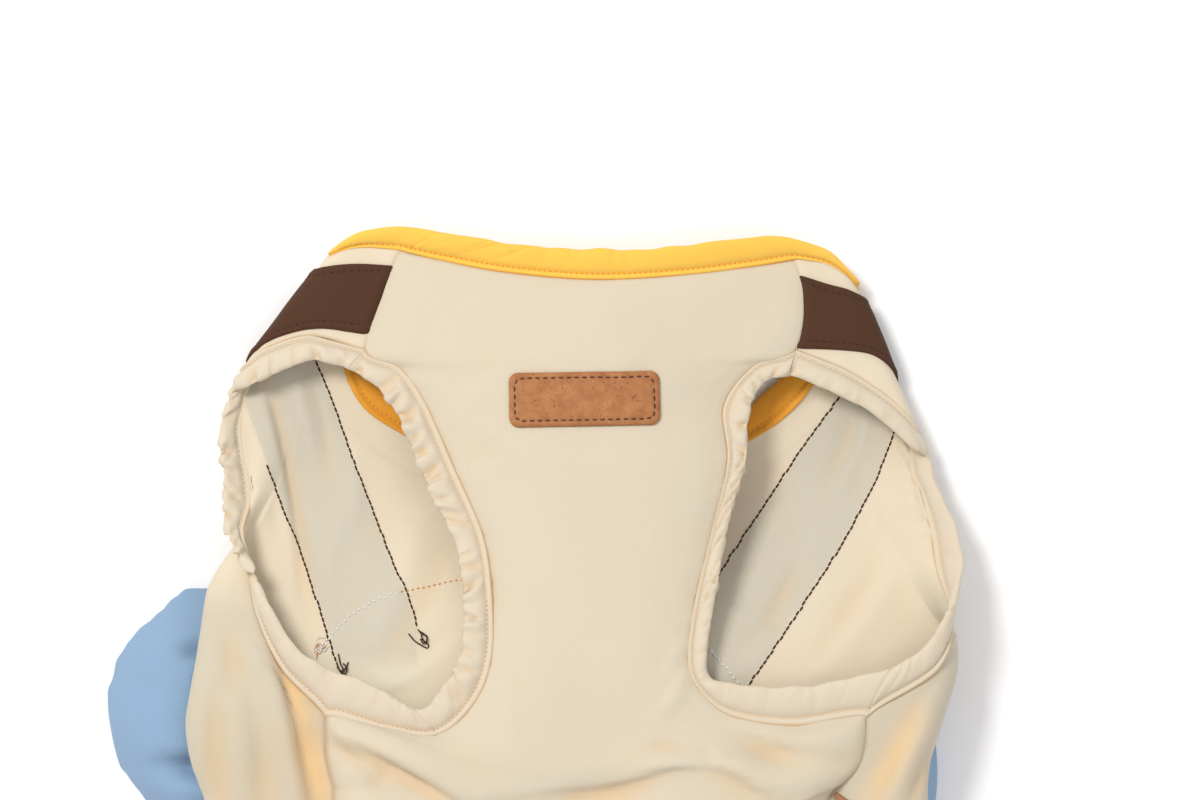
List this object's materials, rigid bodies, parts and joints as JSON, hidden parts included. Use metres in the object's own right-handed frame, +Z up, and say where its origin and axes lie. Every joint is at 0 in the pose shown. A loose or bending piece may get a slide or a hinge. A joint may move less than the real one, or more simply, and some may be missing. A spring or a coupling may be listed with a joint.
{
  "type": "dog cooling vest",
  "caption": "Sleeveless knit vest for a dog, lying on its padded back pack with the chest side up, with bound armholes, a neck band, shoulder straps and a leather label.",
  "frame": {"origin": "on the table, in the middle of the object's box, which is under the left part of the chest", "axes": "+X to the right of the chest as it is looked down on, +Y from the hem to the neck, +Z up from the table"},
  "size_m": [0.2751, 0.3412, 0.041],
  "materials": {
    "cream_knit": "fine matt jersey",
    "binding_knit": "fine matt jersey, doubled and gathered",
    "yellow_knit": "fine jersey, doubled, orange stitches",
    "brown_twill": "matt twill webbing",
    "blue_twill": "matt diagonal twill",
    "tan_leather": "matt, lightly mottled, cut edges",
    "tab_leather": "matt, cut edges"
  },
  "bodies": {
    "root": {"front_panel": "cream_knit", "back_panel": "cream_knit", "neck_band": "yellow_knit", "armhole_binding_left": "binding_knit", "armhole_binding_right": "binding_knit", "shoulder_strap_left": "brown_twill", "shoulder_strap_right": "brown_twill", "leather_label": "tan_leather", "back_pack": "blue_twill", "side_tab": "tab_leather"}
  },
  "joints": []
}
